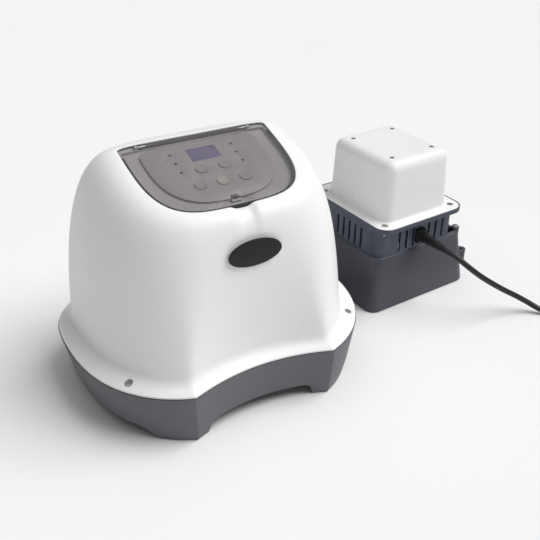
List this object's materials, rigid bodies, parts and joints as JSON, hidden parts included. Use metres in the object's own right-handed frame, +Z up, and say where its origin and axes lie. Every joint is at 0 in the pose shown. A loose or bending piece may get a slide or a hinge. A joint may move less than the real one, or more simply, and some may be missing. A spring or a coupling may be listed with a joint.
{
  "type": "salt chlorine generator",
  "caption": "Domed pool salt chlorinator with hinged clear lid, keypad, electrolytic cell and hose ports, beside its vented mains power unit with cord and plug",
  "frame": {"origin": "centre of the footprint of the two housings together, on the floor they stand on", "axes": "+X runs from the control unit to the power unit, +Y points out of the hose ports and away from the panel's near edge, +Z is up"},
  "size_m": [0.8039, 0.385, 0.2952],
  "materials": {
    "white_shell": "satin moulded",
    "slate_plastic": "fine moulded grain",
    "black_rubber": "matte",
    "screw_steel": "satin",
    "badge_black": "gloss",
    "tray_grey": "satin",
    "overlay_grey": "satin film",
    "display_violet": "gloss",
    "dark_lens": "gloss",
    "key_grey": "satin",
    "smoked_clear": "clear gloss",
    "board_green": "coated",
    "relay_blue": "satin",
    "part_black": "satin",
    "cell_white": "satin",
    "cell_dark": "satin",
    "titanium": "coated",
    "flap_yellow": "satin",
    "port_grey": "satin",
    "box_grey": "fine moulded grain",
    "vent_slate": "fine moulded grain",
    "cover_white": "satin moulded",
    "zinc_steel": "zinc plated",
    "core_steel": "varnished",
    "copper_winding": "enamelled",
    "fin_aluminium": "satin",
    "terminal_cream": "satin",
    "cord_black": "satin",
    "plug_black": "satin",
    "pin_nickel": "plated"
  },
  "bodies": {
    "housings": {"base_housing": "slate_plastic", "rubber_feet": "black_rubber", "rim_seal": "black_rubber", "dome_shell": "white_shell", "rim_screws": "screw_steel", "badge_plate": "badge_black", "control_tray": "tray_grey", "keypad_overlay": "overlay_grey", "display_window": "display_violet", "display_module": "part_black", "indicator_lenses": "dark_lens", "lid_gasket": "black_rubber", "lid_hinge_pins": "screw_steel", "lid_catch": "part_black", "control_board": "board_green", "board_screws": "screw_steel", "key_switches": "part_black", "board_relays": "relay_blue", "cell_housing": "cell_white", "cell_brackets": "cell_dark", "electrode_carrier": "cell_dark", "electrode_plates": "titanium", "electrode_terminals": "screw_steel", "cell_collar": "cell_dark", "cell_o_ring": "black_rubber", "cell_leads": "cord_black", "flow_sensor_body": "part_black", "inlet_port": "port_grey", "outlet_port": "port_grey", "port_o_rings": "black_rubber", "low_voltage_inlet": "part_black", "supply_base": "box_grey", "supply_vent_housing": "vent_slate", "supply_gasket": "black_rubber", "supply_cover": "cover_white", "cover_flange_screws": "screw_steel", "cover_top_screws": "screw_steel", "transformer_frame": "zinc_steel", "transformer_core": "core_steel", "transformer_coil": "copper_winding", "rectifier_board": "board_green", "heat_sink": "fin_aluminium", "terminal_block": "terminal_cream", "fuse_holder": "part_black", "box_screw": "screw_steel", "low_voltage_outlet": "part_black", "cord_gland": "part_black", "cord_grip": "cord_black", "mains_cord": "cord_black", "cord_coil": "cord_black", "coil_tie": "part_black", "plug_body": "plug_black", "plug_pins": "pin_nickel"},
    "lid": {"clear_lid": "smoked_clear"},
    "key_upper_left": {"key_upper_left": "key_grey"},
    "key_upper_right": {"key_upper_right": "key_grey"},
    "key_lower_left": {"key_lower_left": "key_grey"},
    "key_lower_middle": {"key_lower_middle": "key_grey"},
    "key_lower_right": {"key_lower_right": "key_grey"},
    "flap": {"flow_flap": "flap_yellow"}
  },
  "joints": [
    {"name": "lid_hinge", "type": "hinge", "parent": "housings", "child": "lid", "pos_m": [-0.12115, 0.03395, 0.29251], "axis": [-1, 0, 0], "range_deg": [0, 100]},
    {"name": "key_upper_left_press", "type": "slide", "parent": "housings", "child": "key_upper_left", "axis": [0, 0.279, -0.9603], "range_m": [0, 0.0008], "stiffness_N_per_m": 600, "springref_m": -0.0004},
    {"name": "key_upper_right_press", "type": "slide", "parent": "housings", "child": "key_upper_right", "axis": [0, 0.279, -0.9603], "range_m": [0, 0.0008], "stiffness_N_per_m": 600, "springref_m": -0.0004},
    {"name": "key_lower_left_press", "type": "slide", "parent": "housings", "child": "key_lower_left", "axis": [0, 0.279, -0.9603], "range_m": [0, 0.0008], "stiffness_N_per_m": 600, "springref_m": -0.0004},
    {"name": "key_lower_middle_press", "type": "slide", "parent": "housings", "child": "key_lower_middle", "axis": [0, 0.279, -0.9603], "range_m": [0, 0.0008], "stiffness_N_per_m": 600, "springref_m": -0.0004},
    {"name": "key_lower_right_press", "type": "slide", "parent": "housings", "child": "key_lower_right", "axis": [0, 0.279, -0.9603], "range_m": [0, 0.0008], "stiffness_N_per_m": 600, "springref_m": -0.0004},
    {"name": "flap_hinge", "type": "hinge", "parent": "housings", "child": "flap", "pos_m": [-0.06315, 0.06346, 0.126], "axis": [1, 0, 0], "range_deg": [0, 35]}
  ]
}
